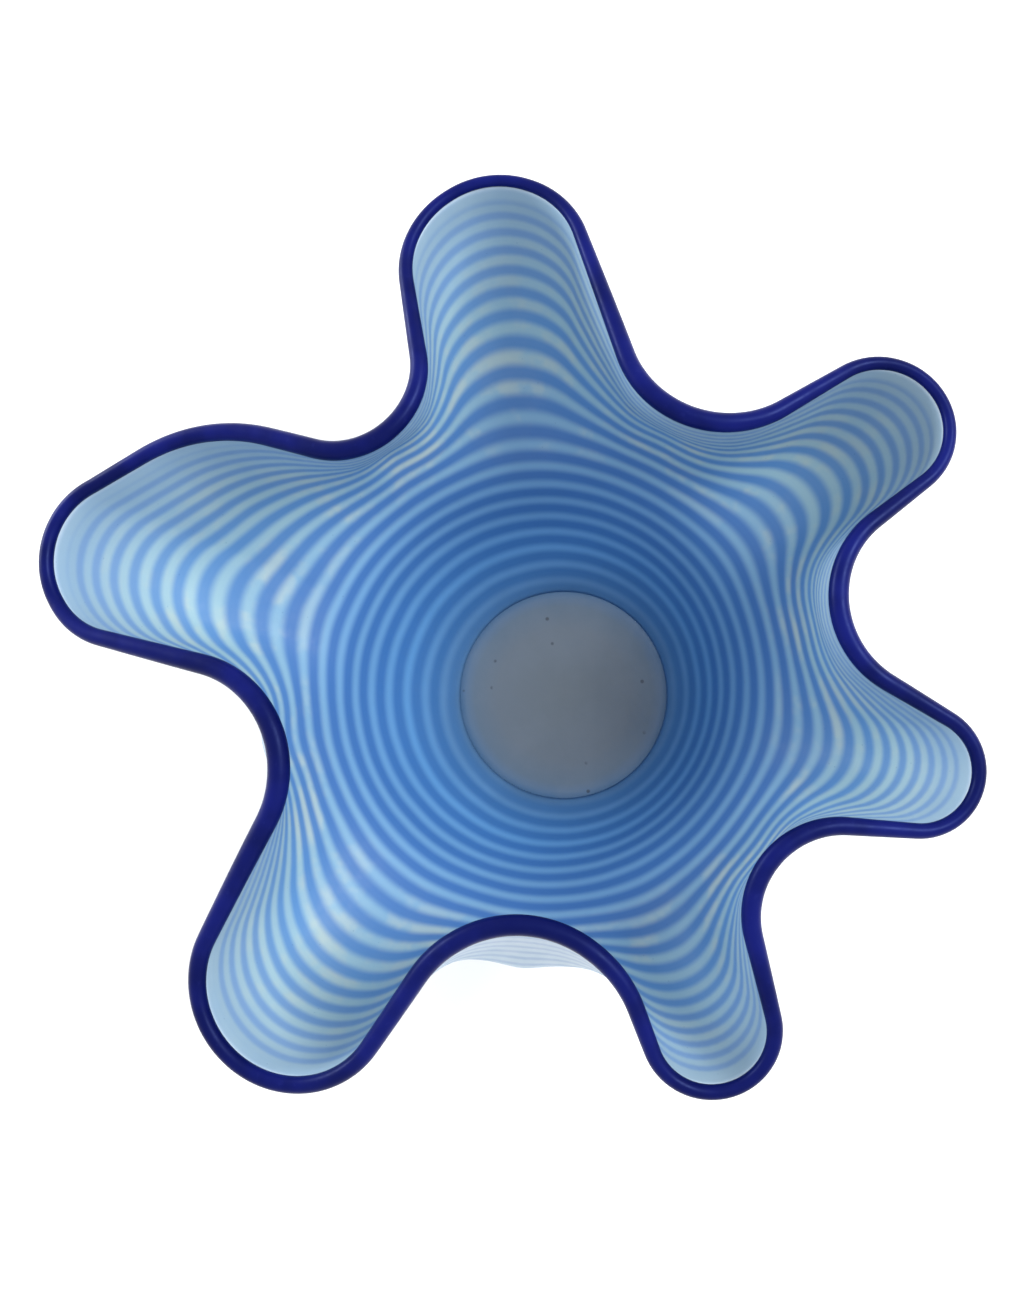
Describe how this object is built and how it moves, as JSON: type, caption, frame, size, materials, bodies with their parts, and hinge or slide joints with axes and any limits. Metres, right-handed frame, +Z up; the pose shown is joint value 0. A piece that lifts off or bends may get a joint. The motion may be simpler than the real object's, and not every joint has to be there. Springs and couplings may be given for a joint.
{
  "type": "art glass bowl",
  "caption": "Free-blown satin glass bowl with pulled-out wavy lobes, a spiral coloured trail cased in the wall, a dark rounded lip wrap and a flat ground foot.",
  "frame": {"origin": "centre of the flat ground foot, on the table", "axes": "+Z up out of the bowl's mouth; +Y along the second longest lobe; +X to the right seen from above, away from the longest lobe"},
  "size_m": [0.3022, 0.2951, 0.1521],
  "materials": {
    "pad_glass": "neutral grey glass, ground satin",
    "aqua_glass": "pale aqua glass, acid-etched satin inside",
    "opal_glass": "thin white opaline glass, acid-etched satin outside",
    "blue_glass": "mid-blue glass, sealed in the wall",
    "cobalt_glass": "deep cobalt glass, satin",
    "label_film": "thin blank film"
  },
  "bodies": {
    "root": {"base_pad": "pad_glass", "inner_casing": "aqua_glass", "outer_casing": "opal_glass", "spiral_thread": "blue_glass", "lip_wrap": "cobalt_glass", "maker_label": "label_film"}
  },
  "joints": []
}
